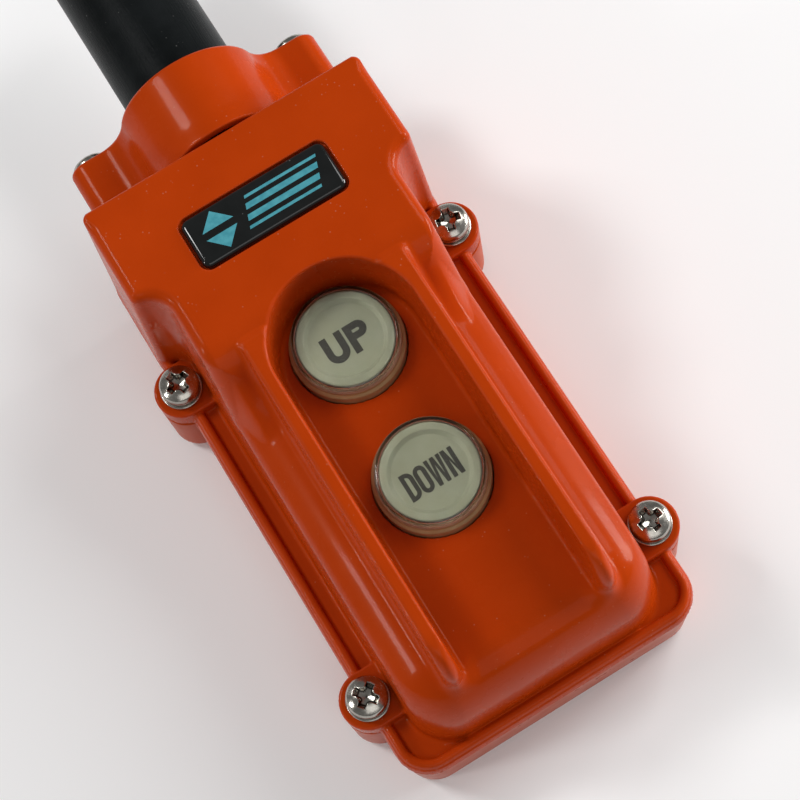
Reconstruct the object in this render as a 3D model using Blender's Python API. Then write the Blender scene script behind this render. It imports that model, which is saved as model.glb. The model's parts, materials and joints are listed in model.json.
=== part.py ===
"""Two-button hoist pendant control station, lying on its back.

+Z is the front normal, +Y runs along the length towards the cable sleeve,
+X is to the right seen from the front. The origin is the middle of the flat
back face. Units are metres.
"""
import math
import bpy
import bmesh
from mathutils import Matrix, Vector

MM = 0.001
WELD = 1e-7

# Levels along Z, in millimetres from the back face
Z_REAR_EAR = 1.5
Z_REAR_TOP = 15.6
Z_PARTING = 16.4
Z_FLANGE = 19.2
Z_LIP = 19.8
Z_EAR = 21.0
Z_FLOOR = 39.0
Z_FLOOR_UNDER = 36.5
Z_PLATEAU = 52.0
Z_CABLE = 36.5
WALL = 2.5

# Plan of the housing
Y_HEAD_END = 60.0
Y_FOOT_END = -58.6
RIM_HALF = 32.1
LIP_WIDTH = 1.6
LIP_TAPER = 0.9
SCREW_X = 31.0
SCREW_Y_HEAD = 31.4
SCREW_Y_FOOT = -40.6
EAR_RADIUS = 5.7
RIB_OUTER = 17.4
CHANNEL_HALF = 14.7
CHANNEL_CENTRE_Y = 12.3
CHANNEL_DRAFT = 0.8
RIB_TOP_Y = 24.0
CAVITY_HALF = 24.2

# Label
LABEL_Y = 42.4
LABEL_HALF_X = 15.4
LABEL_HALF_Y = 5.4
LABEL_CORNER = 1.6
LABEL_CLEARANCE = 0.5
LABEL_RECESS = 1.2

# Buttons
BUTTON_Y = {"up": 14.6, "down": -15.6}
BUTTON_HOLE_RADIUS = 11.6
BUTTON_CAP_RADIUS = 11.1
BUTTON_TOP_RADIUS = 10.1
DISC_RADIUS = 9.3
DISC_RING_INNER = 7.6
DISC_SINK = 0.7
Z_BUTTON_TOP = 44.7
Z_DISC_TOP = 43.5
Z_DISC_BOTTOM = 38.3
FLANGE_RADIUS = 12.6
STEM_RADIUS = 3.0
NECK_RADIUS = 1.5
Z_SPRING_SEAT = 27.8
Z_SPRING_HEAD = 35.5
SPRING_RADIUS = 5.4
SPRING_WIRE = 0.4
SPRING_TURNS = 3.5
Z_BRIDGE = 16.0
BRIDGE_HALF_X = 9.2
BRIDGE_HALF_Y = 2.5
BRIDGE_THICK = 0.8

# Contact block
BLOCK_HALF_X = 20.0
BLOCK_Y0 = -27.6
BLOCK_Y1 = 26.6
Z_BLOCK_BOTTOM = 8.0
Z_BLOCK_FLOOR = 9.5
Z_BLOCK_TOP = 24.5
Z_PLATE_BOTTOM = 24.8
Z_PLATE_TOP = 27.5
POCKET_HALF_X = 18.5
POCKET_HALF_Y = 8.8
BLOCK_SCREW_X = 14.0
BLOCK_SCREW_Y = -0.5
POST_RADIUS = 3.4
TERMINAL_X = 14.2

# Cable clamp cap and sleeve
Y_CAP_BASE = 60.4
Y_CAP_END = 78.0
CAP_ARCH_RADIUS = 15.0
CAP_EAR_HALF = 28.0
CAP_EAR_TOP = 35.2
CAP_EAR_BOTTOM = 23.0
CAP_SCREW_X = 23.4
CAP_SCREW_Z = 29.4
SLEEVE_RADIUS = 11.9
SLEEVE_BORE = 6.5
SLEEVE_FLANGE = 13.2
Y_SLEEVE_END = 132.0

# Fastener sizes
M4_HEAD_RADIUS = 4.0
M4_HEAD_HEIGHT = 2.6
M4_SHANK_RADIUS = 1.9
M4_CLEAR_RADIUS = 2.3
M4_THREAD_RADIUS = 2.2
GAP = 0.3


# ---------------------------------------------------------------- helpers
def clear_scene():
    for old in list(bpy.data.objects):
        bpy.data.objects.remove(old, do_unlink=True)


def material(name, colour, roughness, metallic=0.0):
    mat = bpy.data.materials.new(name)
    mat.use_nodes = True
    shader = mat.node_tree.nodes["Principled BSDF"]
    shader.inputs["Base Color"].default_value = (*colour, 1.0)
    shader.inputs["Roughness"].default_value = roughness
    shader.inputs["Metallic"].default_value = metallic
    return mat


def mat_orange():
    return material("orange_plastic", (0.62, 0.10, 0.015), 0.28)


def mat_orange_rear():
    return material("orange_plastic_rear", (0.58, 0.09, 0.014), 0.32)


def mat_rubber():
    return material("black_rubber", (0.012, 0.014, 0.014), 0.45)


def mat_seal():
    return material("seal_rubber", (0.02, 0.02, 0.02), 0.7)


def mat_gasket():
    return material("gasket_rubber", (0.015, 0.015, 0.015), 0.8)


def mat_label():
    return material("label_black_gloss", (0.006, 0.008, 0.008), 0.06)


def mat_steel():
    return material("plated_steel", (0.62, 0.60, 0.55), 0.25, 1.0)


def mat_clear():
    return material("clear_plastic", (0.72, 0.70, 0.58), 0.08)


def mat_legend():
    return material("legend_white", (0.60, 0.62, 0.50), 0.35)


def mat_plunger():
    return material("plunger_plastic", (0.75, 0.74, 0.70), 0.4)


def mat_brass():
    return material("brass", (0.70, 0.50, 0.20), 0.3, 1.0)


def mat_block():
    return material("black_phenolic", (0.02, 0.018, 0.016), 0.5)


def mat_spring():
    return material("spring_steel", (0.50, 0.50, 0.50), 0.3, 1.0)


def fillet(points, segments=5):
    """Round each (x, y, radius) corner of a polygon with an arc."""
    out = []
    count = len(points)
    for i, (x, y, radius) in enumerate(points):
        here = Vector((x, y))
        before = Vector(points[i - 1][:2]) - here
        after = Vector(points[(i + 1) % count][:2]) - here
        if radius <= 0.0:
            out.append((x, y))
            continue
        u = before.normalized()
        v = after.normalized()
        half = u.angle(v) / 2.0
        reach = radius / math.tan(half)
        centre = here + (u + v).normalized() * (radius / math.sin(half))
        start = here + u * reach - centre
        sweep = start.angle_signed(here + v * reach - centre)
        for k in range(segments + 1):
            turn = Matrix.Rotation(-sweep * k / segments, 2)
            p = centre + turn @ start
            out.append((p.x, p.y))
    return out


def mirror_outline(right_side):
    """Close a right-hand chain (foot to head) with its mirror image."""
    left = [(-x, y, r) for x, y, r in reversed(right_side)]
    return right_side + left


def finish(bm, name, mat, angle=32.0):
    bmesh.ops.recalc_face_normals(bm, faces=bm.faces)
    mesh = bpy.data.meshes.new(name)
    bm.to_mesh(mesh)
    bm.free()
    obj = bpy.data.objects.new(name, mesh)
    bpy.context.scene.collection.objects.link(obj)
    if mat is not None:
        mesh.materials.append(mat)
    mesh.shade_smooth()
    mesh.set_sharp_from_angle(angle=math.radians(angle))
    return obj


def loft(name, rings, mat=None, angle=32.0):
    """Skin equal-length rings of (x, y, z) points in mm and cap both ends."""
    bm = bmesh.new()
    rows = [[bm.verts.new(Vector(p) * MM) for p in ring] for ring in rings]
    count = len(rings[0])
    for low, high in zip(rows, rows[1:]):
        for i in range(count):
            j = (i + 1) % count
            bm.faces.new((low[i], low[j], high[j], high[i]))
    bm.faces.new(list(reversed(rows[0])))
    bm.faces.new(rows[-1])
    return finish(bm, name, mat, angle)


def prism(name, outline, z0, z1, mat=None):
    return loft(name, [[(x, y, z) for x, y in outline] for z in (z0, z1)], mat)


def tube(name, outer, inner, z0, z1, mat):
    """Ring solid between two outlines of equal point count."""
    bm = bmesh.new()
    rows = [[bm.verts.new(Vector((x, y, z)) * MM) for x, y in line]
            for line, z in ((outer, z0), (outer, z1), (inner, z1), (inner, z0))]
    count = len(outer)
    for a, b in zip(rows, rows[1:] + rows[:1]):
        for i in range(count):
            j = (i + 1) % count
            bm.faces.new((a[i], a[j], b[j], b[i]))
    return finish(bm, name, mat)


def box(name, x0, x1, y0, y1, z0, z1, mat=None):
    outline = [(x0, y0), (x1, y0), (x1, y1), (x0, y1)]
    return prism(name, outline, z0, z1, mat)


def lathe(name, profile, centre, mat=None, axis="Z", segments=40, angle=32.0):
    """Revolve a closed (radius, height) loop in mm; radius 0 sits on the axis."""
    bm = bmesh.new()
    rows = []
    for radius, height in profile:
        if radius <= 0.0:
            rows.append([bm.verts.new((0.0, 0.0, height * MM))])
            continue
        row = []
        for k in range(segments):
            a = 2.0 * math.pi * k / segments
            p = (radius * math.cos(a) * MM, radius * math.sin(a) * MM, height * MM)
            row.append(bm.verts.new(p))
        rows.append(row)
    for a, b in zip(rows, rows[1:] + rows[:1]):
        if len(a) == 1 and len(b) == 1:
            continue
        for i in range(segments):
            j = (i + 1) % segments
            if len(a) == 1:
                bm.faces.new((a[0], b[i], b[j]))
            elif len(b) == 1:
                bm.faces.new((a[i], a[j], b[0]))
            else:
                bm.faces.new((a[i], a[j], b[j], b[i]))
    if axis == "Y":
        turn = Matrix.Rotation(-math.pi / 2.0, 4, "X")
        bmesh.ops.transform(bm, matrix=turn, verts=bm.verts)
    move = Matrix.Translation(Vector(centre) * MM)
    bmesh.ops.transform(bm, matrix=move, verts=bm.verts)
    return finish(bm, name, mat, angle)


def rod(name, radius, low, high, centre=(0.0, 0.0, 0.0), axis="Z", segments=32, mat=None):
    profile = [(0.0, low), (radius, low), (radius, high), (0.0, high)]
    return lathe(name, profile, centre, mat, axis, segments)


def weld(mesh):
    """Merge coincident vertices left along a Boolean seam."""
    bm = bmesh.new()
    bm.from_mesh(mesh)
    bmesh.ops.remove_doubles(bm, verts=bm.verts, dist=WELD)
    bm.to_mesh(mesh)
    bm.free()


def combine(obj, other, operation):
    """Apply one exact Boolean and delete the second solid."""
    mod = obj.modifiers.new(operation.lower(), "BOOLEAN")
    mod.operation = operation
    mod.solver = "EXACT"
    mod.object = other
    graph = bpy.context.evaluated_depsgraph_get()
    mesh = bpy.data.meshes.new_from_object(obj.evaluated_get(graph))
    obj.modifiers.clear()
    old = obj.data
    name = old.name
    obj.data = mesh
    bpy.data.meshes.remove(old)
    mesh.name = name
    weld(mesh)
    bpy.data.objects.remove(other, do_unlink=True)
    return obj


def add(obj, other):
    return combine(obj, other, "UNION")


def cut(obj, other):
    return combine(obj, other, "DIFFERENCE")


def tidy_mesh(obj, angle=32.0):
    """Shade a finished Boolean result and mark its sharp edges."""
    obj.data.shade_smooth()
    obj.data.set_sharp_from_angle(angle=math.radians(angle))


def place_origin(obj, point):
    """Move the object's origin to a point in mm without moving the solid."""
    offset = Vector(point) * MM
    obj.data.transform(Matrix.Translation(-offset))
    obj.location = offset


# ---------------------------------------------------------------- outlines
def rim_outline(inset=0.0, grow_y=0.0):
    half = RIM_HALF - inset
    foot = Y_FOOT_END + inset
    head = Y_HEAD_END + grow_y - inset
    side = [(half, foot, 7.0 - inset), (half, head, 3.0 - inset * 0.5)]
    return fillet(mirror_outline(side), 6)


def stepped_outline(body_half, foot, step_y, head_half, head, radii):
    side = [(body_half, foot, radii[0]), (body_half, step_y, radii[1]),
            (head_half, step_y, radii[2]), (head_half, head, radii[3])]
    return fillet(mirror_outline(side), 5)


def cavity_outline(grow=0.0):
    return stepped_outline(CAVITY_HALF + grow, -52.4 - grow, 41.6 - grow,
                           28.0 + grow, 56.4 + grow, (6.0, 2.5, 2.0, 2.0))


def ear_centres():
    return [(sx * SCREW_X, y) for y in (SCREW_Y_HEAD, SCREW_Y_FOOT) for sx in (-1, 1)]


def ear_outline(cx, cy, radius):
    """Round boss joined to the housing wall on its inner side."""
    side = 1.0 if cx > 0 else -1.0
    points = []
    steps = 14
    for k in range(steps + 1):
        a = -math.pi / 2.0 + math.pi * k / steps
        points.append((cx + side * radius * math.cos(a), cy + radius * math.sin(a)))
    inner = cx - side * 5.5
    points.append((inner, cy + radius))
    points.append((inner, cy - radius))
    return points


# ---------------------------------------------------------------- front cover
def front_body():
    levels = [(17.0, 26.5, -55.8, 9.0), (30.0, 25.7, -54.8, 8.5), (35.0, 25.2, -53.8, 8.0),
              (37.6, 23.9, -52.4, 7.5), (39.4, 21.6, -50.2, 7.0), (40.4, 18.6, -47.6, 6.0),
              (40.7, 16.4, -45.6, 5.0)]
    rings = []
    for z, half, foot, radius in levels:
        side = [(half, foot, radius), (half, 44.0, 1.0)]
        rings.append([(x, y, z) for x, y in fillet(mirror_outline(side), 6)])
    return loft("front_cover", rings, mat_orange())


def front_head():
    levels = [(17.0, 26.3, 6.0, 38.4, RIM_HALF, 60.0, 6.0), (36.0, 25.3, 8.0, 38.8, 31.3, 59.9, 5.5),
              (41.0, 25.2, 9.0, 38.9, 31.0, 59.8, 5.3), (46.0, 24.8, 15.5, 39.0, 30.6, 59.7, 5.2),
              (50.0, 24.0, 19.0, 39.1, 30.2, 59.6, 5.2), (51.4, 23.4, 20.2, 39.3, 29.4, 59.4, 5.2),
              (52.0, 22.8, 20.8, 39.8, 28.2, 59.0, 5.2)]
    rings = []
    for z, half, foot, step, head_half, head, cove in levels:
        side = [(half, foot, 3.5), (half, step, cove), (head_half, step, 1.4),
                (head_half, head, 2.2)]
        rings.append([(x, y, z) for x, y in fillet(mirror_outline(side), 6)])
    return loft("head_block", rings)


def rib(side):
    profile = [(RIB_TOP_Y, 38.0), (RIB_TOP_Y, Z_PLATEAU - 0.02), (-41.5, Z_PLATEAU - 0.02),
               (-45.2, 51.2), (-47.9, 49.5), (-49.6, 46.9), (-50.5, 43.5), (-50.8, 38.0)]
    rings = []
    for x_low, x_high in ((12.0, 12.0), (RIB_OUTER + 0.5, RIB_OUTER)):
        ring = []
        for y, z in profile:
            share = (z - 38.0) / (Z_PLATEAU - 38.0)
            ring.append((side * (x_low + (x_high - x_low) * share), y, z))
        rings.append(ring)
    return loft("rib", rings)


def flange():
    levels = ((Z_PARTING, 0.0), (Z_FLANGE, LIP_TAPER * 0.6), (Z_LIP, LIP_TAPER))
    solid = loft("flange", [[(x, y, z) for x, y in rim_outline(inset)] for z, inset in levels])
    return cut(solid, prism("flange_step", rim_outline(LIP_WIDTH), Z_FLANGE, Z_LIP + 1.0))


def channel_cutter():
    rings = []
    for z, half in ((Z_FLOOR, CHANNEL_HALF - CHANNEL_DRAFT), (Z_PLATEAU + 1.0, CHANNEL_HALF)):
        ring = [(-half, -70.0, z), (half, -70.0, z)]
        steps = 28
        for k in range(steps + 1):
            a = math.pi * k / steps
            ring.append((half * math.cos(a), CHANNEL_CENTRE_Y + half * math.sin(a), z))
        rings.append(ring)
    return loft("channel", rings)


def label_outline(grow=0.0):
    hx = LABEL_HALF_X + grow
    hy = LABEL_HALF_Y + grow
    r = LABEL_CORNER + grow
    corners = [(hx, -hy, r), (hx, hy, r), (-hx, hy, r), (-hx, -hy, r)]
    return [(x, y + LABEL_Y) for x, y in fillet(corners, 5)]


def hollow_front(obj):
    body = stepped_outline(CAVITY_HALF, -52.4, 41.6, 28.0, 56.4, (6.0, 2.5, 2.0, 2.0))
    cut(obj, prism("cavity_low", body, 15.0, 32.0))
    low = fillet(mirror_outline([(23.6, -51.8, 6.0), (23.6, 43.0, 1.0)]), 6)
    high = fillet(mirror_outline([(20.4, -48.6, 5.0), (20.4, 43.0, 1.0)]), 6)
    rings = [[(x, y, 31.0) for x, y in low], [(x, y, Z_FLOOR_UNDER) for x, y in high]]
    cut(obj, loft("cavity_mid", rings))
    neck = stepped_outline(20.4, 29.6, 41.6, 27.6, 57.2, (3.0, 2.5, 2.0, 2.0))
    cut(obj, prism("cavity_head", neck, 30.0, Z_PLATEAU - WALL))


def front_cover():
    obj = front_body()
    add(obj, front_head())
    add(obj, rib(1.0))
    add(obj, rib(-1.0))
    cut(obj, channel_cutter())
    add(obj, flange())
    for cx, cy in ear_centres():
        add(obj, prism("ear", ear_outline(cx, cy, EAR_RADIUS), Z_PARTING, Z_EAR))
    hollow_front(obj)
    for sx in (-1, 1):
        x = sx * CAP_SCREW_X
        add(obj, rod("boss", 4.4, 48.0, 58.0, (x, 0.0, CAP_SCREW_Z), "Y", 24))
        cut(obj, rod("bore", M4_THREAD_RADIUS, 50.0, 63.0, (x, 0.0, CAP_SCREW_Z), "Y", 20))
        post = (sx * BLOCK_SCREW_X, BLOCK_SCREW_Y, 0.0)
        add(obj, rod("post", POST_RADIUS, Z_PLATE_TOP + GAP, 37.2, post, "Z", 24))
        cut(obj, rod("post_bore", M4_THREAD_RADIUS, 26.0, 35.0, post, "Z", 20))
    for y in BUTTON_Y.values():
        cut(obj, rod("hole", BUTTON_HOLE_RADIUS, 33.0, 42.0, (0.0, y, 0.0), "Z", 48))
    for cx, cy in ear_centres():
        cut(obj, rod("bore", M4_CLEAR_RADIUS, 14.0, 24.0, (cx, cy, 0.0), "Z", 20))
    recess = prism("recess", label_outline(LABEL_CLEARANCE), Z_PLATEAU - LABEL_RECESS,
                   Z_PLATEAU + 1.0)
    cut(obj, recess)
    cut(obj, rod("entry", 8.5, 55.0, 63.0, (0.0, 0.0, Z_CABLE), "Y", 32))
    tidy_mesh(obj)


# ---------------------------------------------------------------- rear cover
def rear_cover():
    rings = []
    for z, inset in ((0.0, 2.2), (0.8, 1.3), (2.4, 0.8), (Z_REAR_TOP, 0.0)):
        rings.append([(x, y, z) for x, y in rim_outline(inset)])
    obj = loft("rear_cover", rings, mat_orange_rear())
    for cx, cy in ear_centres():
        add(obj, prism("ear", ear_outline(cx, cy, EAR_RADIUS), Z_REAR_EAR, Z_REAR_TOP))
    cut(obj, prism("cavity", cavity_outline(), WALL, 18.0))
    groove_out = prism("groove", cavity_outline(2.4), Z_REAR_TOP - 1.8, 18.0)
    cut(groove_out, prism("groove_core", cavity_outline(0.8), 10.0, 19.0))
    cut(obj, groove_out)
    for cx, cy in ear_centres():
        cut(obj, rod("bore", M4_THREAD_RADIUS, 5.0, 18.0, (cx, cy, 0.0), "Z", 20))
    tidy_mesh(obj)


def cover_gasket():
    low = Z_REAR_TOP - 1.5
    high = Z_PARTING - GAP
    tube("cover_gasket", cavity_outline(2.1), cavity_outline(1.1), low, high, mat_gasket())


# ---------------------------------------------------------------- label
def label_plate():
    levels = ((51.1, 0.0), (52.0, 0.0), (52.4, -0.25), (52.65, -0.8), (52.75, -1.5))
    rings = []
    for z, grow in levels:
        rings.append([(x, y, z) for x, y in label_outline(grow)])
    loft("label_plate", rings, mat_label())


# ---------------------------------------------------------------- fasteners
def pan_profile(radius, height, base):
    return [(radius, base), (radius, base + height * 0.4), (radius * 0.88, base + height * 0.76),
            (radius * 0.5, base + height * 0.97), (0.0, base + height)]


def pan_screw(name, centre, head_base, shank_end, axis="Z", head=None, shank=None):
    """Pan-head screw with a cross recess; heights run along the axis."""
    head_radius, head_height = head or (M4_HEAD_RADIUS, M4_HEAD_HEIGHT)
    shank_radius = shank or M4_SHANK_RADIUS
    up = 1.0 if head_base > shank_end else -1.0
    profile = [(0.0, shank_end), (shank_radius - 0.4, shank_end),
               (shank_radius, shank_end + up * 0.6), (shank_radius, head_base)]
    profile += pan_profile(head_radius, up * head_height, head_base)
    obj = lathe(name, profile, centre, mat_steel(), axis, 20)
    top = head_base + up * head_height
    depth = top - up * head_height * 0.62
    arm = head_radius * 0.56
    wide = head_radius * 0.15
    low, high = sorted((depth, top + up * 1.0))
    for turn in (0.0, math.pi / 2.0):
        slot = recess_bar("recess", arm, wide, low, high, turn, axis)
        slot.data.transform(Matrix.Translation(Vector(centre) * MM))
        cut(obj, slot)
    tidy_mesh(obj)
    return obj


def recess_bar(name, arm, wide, low, high, turn, axis):
    bar = box(name, -arm, arm, -wide, wide, low, high)
    spin = Matrix.Rotation(turn + math.radians(20.0), 4, "Z")
    bar.data.transform(spin)
    if axis == "Y":
        bar.data.transform(Matrix.Rotation(-math.pi / 2.0, 4, "X"))
    return bar


def flat_washer(name, centre, base):
    profile = [(M4_CLEAR_RADIUS, base), (4.3, base), (4.3, base + 0.7), (M4_CLEAR_RADIUS, base + 0.7)]
    lathe(name, profile, centre, mat_steel(), "Z", 24)


def spring_washer(name, centre, base):
    """Split ring with its ends set slightly apart."""
    inner, outer, thick = M4_CLEAR_RADIUS, 3.9, 0.8
    steps = 24
    start = math.radians(8.0)
    sweep = 2.0 * math.pi - 2.0 * start
    bm = bmesh.new()
    rows = []
    for k in range(steps + 1):
        a = start + sweep * k / steps
        row = []
        for r, z in ((inner, base), (outer, base), (outer, base + thick), (inner, base + thick)):
            x = centre[0] + r * math.cos(a)
            y = centre[1] + r * math.sin(a)
            row.append(bm.verts.new(Vector((x, y, z)) * MM))
        rows.append(row)
    for a, b in zip(rows, rows[1:]):
        for i in range(4):
            j = (i + 1) % 4
            bm.faces.new((a[i], a[j], b[j], b[i]))
    bm.faces.new(list(reversed(rows[0])))
    bm.faces.new(rows[-1])
    finish(bm, name, mat_steel())


def cover_fasteners():
    names = ("head_left", "head_right", "foot_left", "foot_right")
    for name, (cx, cy) in zip(names, ear_centres()):
        flat_washer("flat_washer_" + name, (cx, cy, 0.0), Z_EAR + GAP)
        spring_washer("spring_washer_" + name, (cx, cy), Z_EAR + GAP + 0.7 + GAP)
        head = Z_EAR + GAP + 0.7 + GAP + 0.8 + GAP
        pan_screw("cover_screw_" + name, (cx, cy, 0.0), head, 7.0)


# ---------------------------------------------------------------- clamp cap
def cap_profile():
    """Arch over the sleeve, concave flanks and two rounded ears, in X and Z."""
    points = []
    bend = 5.6
    reach = CAP_ARCH_RADIUS + bend
    flank = math.asin((CAP_EAR_TOP + bend - Z_CABLE) / reach)
    steps = 18
    for k in range(steps + 1):
        a = flank + (math.pi - 2.0 * flank) * k / steps
        points.append((CAP_ARCH_RADIUS * math.cos(a), Z_CABLE + CAP_ARCH_RADIUS * math.sin(a)))
    half = []
    x0, z0 = points[0]
    for k in range(1, 8):
        a = math.pi + flank + (math.pi / 2.0 - flank) * k / 7.0
        cx = x0 + bend * math.cos(flank)
        cz = z0 + bend * math.sin(flank)
        half.append((cx + bend * math.cos(a), cz + bend * math.sin(a)))
    corner = 3.6
    for k in range(6):
        a = math.pi / 2.0 - math.pi / 2.0 * k / 5.0
        cx = CAP_EAR_HALF - corner
        cz = CAP_EAR_TOP - corner
        half.append((cx + corner * math.cos(a), cz + corner * math.sin(a)))
    for k in range(6):
        a = -math.pi / 2.0 * k / 5.0
        cx = CAP_EAR_HALF - corner
        cz = CAP_EAR_BOTTOM + corner
        half.append((cx + corner * math.cos(a), cz + corner * math.sin(a)))
    half += [(15.0, CAP_EAR_BOTTOM), (12.6, 21.6), (8.0, 20.4)]
    right = list(reversed(half))
    left = [(-x, z) for x, z in half]
    return right + points + left


def clamp_cap():
    outline = cap_profile()
    rings = [[(x, y, z) for x, z in outline] for y in (Y_CAP_BASE, Y_CAP_END)]
    obj = loft("cable_clamp_cap", rings, mat_orange())
    hub = (0.0, 0.0, Z_CABLE)
    step = 63.4
    profile = [(0.0, 58.0), (SLEEVE_FLANGE + GAP, 58.0), (SLEEVE_FLANGE + GAP, step),
               (SLEEVE_RADIUS + GAP, step), (SLEEVE_RADIUS + GAP, 80.0), (0.0, 80.0)]
    cut(obj, lathe("sleeve_hole", profile, hub, None, "Y", 48))
    for sx in (-1, 1):
        centre = (sx * CAP_SCREW_X, 0.0, CAP_SCREW_Z)
        cut(obj, rod("bore", M4_CLEAR_RADIUS, 58.0, 80.0, centre, "Y", 20))
    tidy_mesh(obj)


def cable_sleeve():
    profile = [(SLEEVE_BORE, 60.7), (SLEEVE_FLANGE, 60.7), (SLEEVE_FLANGE, 63.0),
               (SLEEVE_RADIUS, 63.2), (SLEEVE_RADIUS, 121.0), (11.2, 122.0), (10.2, 122.2),
               (10.2, 127.0), (9.4, 127.4), (9.2, Y_SLEEVE_END), (SLEEVE_BORE, Y_SLEEVE_END)]
    lathe("cable_sleeve", profile, (0.0, 0.0, Z_CABLE), mat_rubber(), "Y", 40)


def cap_fasteners():
    for name, sx in (("left", -1), ("right", 1)):
        centre = (sx * CAP_SCREW_X, 0.0, CAP_SCREW_Z)
        pan_screw("cap_screw_" + name, centre, Y_CAP_END + GAP, 53.0, "Y")


# ---------------------------------------------------------------- buttons
def button_cap(name, y):
    inner = DISC_RADIUS + GAP
    profile = [(FLANGE_RADIUS, 32.5), (FLANGE_RADIUS, 34.5), (BUTTON_CAP_RADIUS, 34.6),
               (BUTTON_CAP_RADIUS, 40.2), (BUTTON_TOP_RADIUS + 0.25, 43.6),
               (BUTTON_TOP_RADIUS - 0.05, 44.3), (BUTTON_TOP_RADIUS - 0.6, Z_BUTTON_TOP - 0.06),
               (BUTTON_TOP_RADIUS - 2.5, Z_BUTTON_TOP), (0.0, Z_BUTTON_TOP),
               (0.0, Z_DISC_TOP + GAP), (inner, Z_DISC_TOP + GAP), (inner, 32.5)]
    lathe("button_cap_" + name, profile, (0.0, y, 0.0), mat_clear(), "Z", 40)


def legend_disc(name, y):
    sink = Z_DISC_TOP - DISC_SINK
    profile = [(0.0, Z_DISC_BOTTOM), (DISC_RADIUS, Z_DISC_BOTTOM), (DISC_RADIUS, Z_DISC_TOP - 0.3),
               (DISC_RADIUS - 0.3, Z_DISC_TOP), (DISC_RING_INNER + 0.2, Z_DISC_TOP),
               (DISC_RING_INNER - 0.5, sink), (0.0, sink)]
    lathe("legend_disc_" + name, profile, (0.0, y, 0.0), mat_legend(), "Z", 40)


def plunger(name, y):
    head_top = Z_DISC_BOTTOM - GAP
    head_bottom = Z_SPRING_HEAD + GAP
    shoulder = Z_BRIDGE + BRIDGE_THICK + GAP
    profile = [(0.0, 13.4), (NECK_RADIUS, 13.4), (NECK_RADIUS, shoulder), (STEM_RADIUS, shoulder),
               (STEM_RADIUS, head_bottom), (DISC_RADIUS, head_bottom), (DISC_RADIUS, head_top),
               (0.0, head_top)]
    lathe("plunger_" + name, profile, (0.0, y, 0.0), mat_plunger(), "Z", 32)


def button_seal(name, y):
    profile = [(11.45, 34.8), (13.3, 34.8), (13.3, 36.2), (11.45, 36.2)]
    lathe("button_seal_" + name, profile, (0.0, y, 0.0), mat_seal(), "Z", 40)


def contact_bridge(name, y):
    corners = [(BRIDGE_HALF_X, -BRIDGE_HALF_Y, 0.8), (BRIDGE_HALF_X, BRIDGE_HALF_Y, 0.8),
               (-BRIDGE_HALF_X, BRIDGE_HALF_Y, 0.8), (-BRIDGE_HALF_X, -BRIDGE_HALF_Y, 0.8)]
    outline = [(x, yy + y) for x, yy in fillet(corners, 3)]
    obj = prism("contact_bridge_" + name, outline, Z_BRIDGE, Z_BRIDGE + BRIDGE_THICK, mat_brass())
    cut(obj, rod("neck_hole", NECK_RADIUS + GAP, 14.0, 20.0, (0.0, y, 0.0), "Z", 20))
    tidy_mesh(obj)


def return_spring(name, y):
    """Open coil between the block plate and the plunger head."""
    low = Z_SPRING_SEAT + SPRING_WIRE
    rise = Z_SPRING_HEAD - SPRING_WIRE - low
    sides = 5
    steps = int(SPRING_TURNS * 16)
    bm = bmesh.new()
    rows = []
    for k in range(steps + 1):
        share = k / steps
        a = 2.0 * math.pi * SPRING_TURNS * share
        row = []
        for s in range(sides):
            b = 2.0 * math.pi * s / sides
            r = SPRING_RADIUS + SPRING_WIRE * math.cos(b)
            z = low + rise * share + SPRING_WIRE * math.sin(b)
            row.append(bm.verts.new(Vector((r * math.cos(a), y + r * math.sin(a), z)) * MM))
        rows.append(row)
    for a, b in zip(rows, rows[1:]):
        for i in range(sides):
            j = (i + 1) % sides
            bm.faces.new((a[i], a[j], b[j], b[i]))
    bm.faces.new(list(reversed(rows[0])))
    bm.faces.new(rows[-1])
    finish(bm, "return_spring_" + name, mat_spring(), 60.0)


def buttons():
    for name, y in BUTTON_Y.items():
        button_cap(name, y)
        legend_disc(name, y)
        plunger(name, y)
        button_seal(name, y)
        contact_bridge(name, y)
        return_spring(name, y)


# ---------------------------------------------------------------- contact block
def contact_block():
    obj = box("contact_block", -BLOCK_HALF_X, BLOCK_HALF_X, BLOCK_Y0, BLOCK_Y1,
              Z_BLOCK_BOTTOM, Z_BLOCK_TOP, mat_block())
    for y in BUTTON_Y.values():
        cut(obj, box("pocket", -POCKET_HALF_X, POCKET_HALF_X, y - POCKET_HALF_Y,
                     y + POCKET_HALF_Y, Z_BLOCK_FLOOR, Z_BLOCK_TOP + 1.0))
        for sx in (-1, 1):
            centre = (sx * TERMINAL_X, y, 0.0)
            cut(obj, rod("thread", 1.7, 6.0, 12.0, centre, "Z", 16))
    for sx in (-1, 1):
        centre = (sx * BLOCK_SCREW_X, BLOCK_SCREW_Y, 0.0)
        cut(obj, rod("bore", M4_CLEAR_RADIUS, 6.0, 26.0, centre, "Z", 20))
    tidy_mesh(obj)


def block_plate():
    obj = box("block_plate", -BLOCK_HALF_X, BLOCK_HALF_X, BLOCK_Y0, BLOCK_Y1,
              Z_PLATE_BOTTOM, Z_PLATE_TOP, mat_block())
    for y in BUTTON_Y.values():
        cut(obj, rod("guide", STEM_RADIUS + GAP, 22.0, 30.0, (0.0, y, 0.0), "Z", 28))
    for sx in (-1, 1):
        centre = (sx * BLOCK_SCREW_X, BLOCK_SCREW_Y, 0.0)
        cut(obj, rod("bore", M4_CLEAR_RADIUS, 22.0, 30.0, centre, "Z", 20))
    tidy_mesh(obj)


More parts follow.
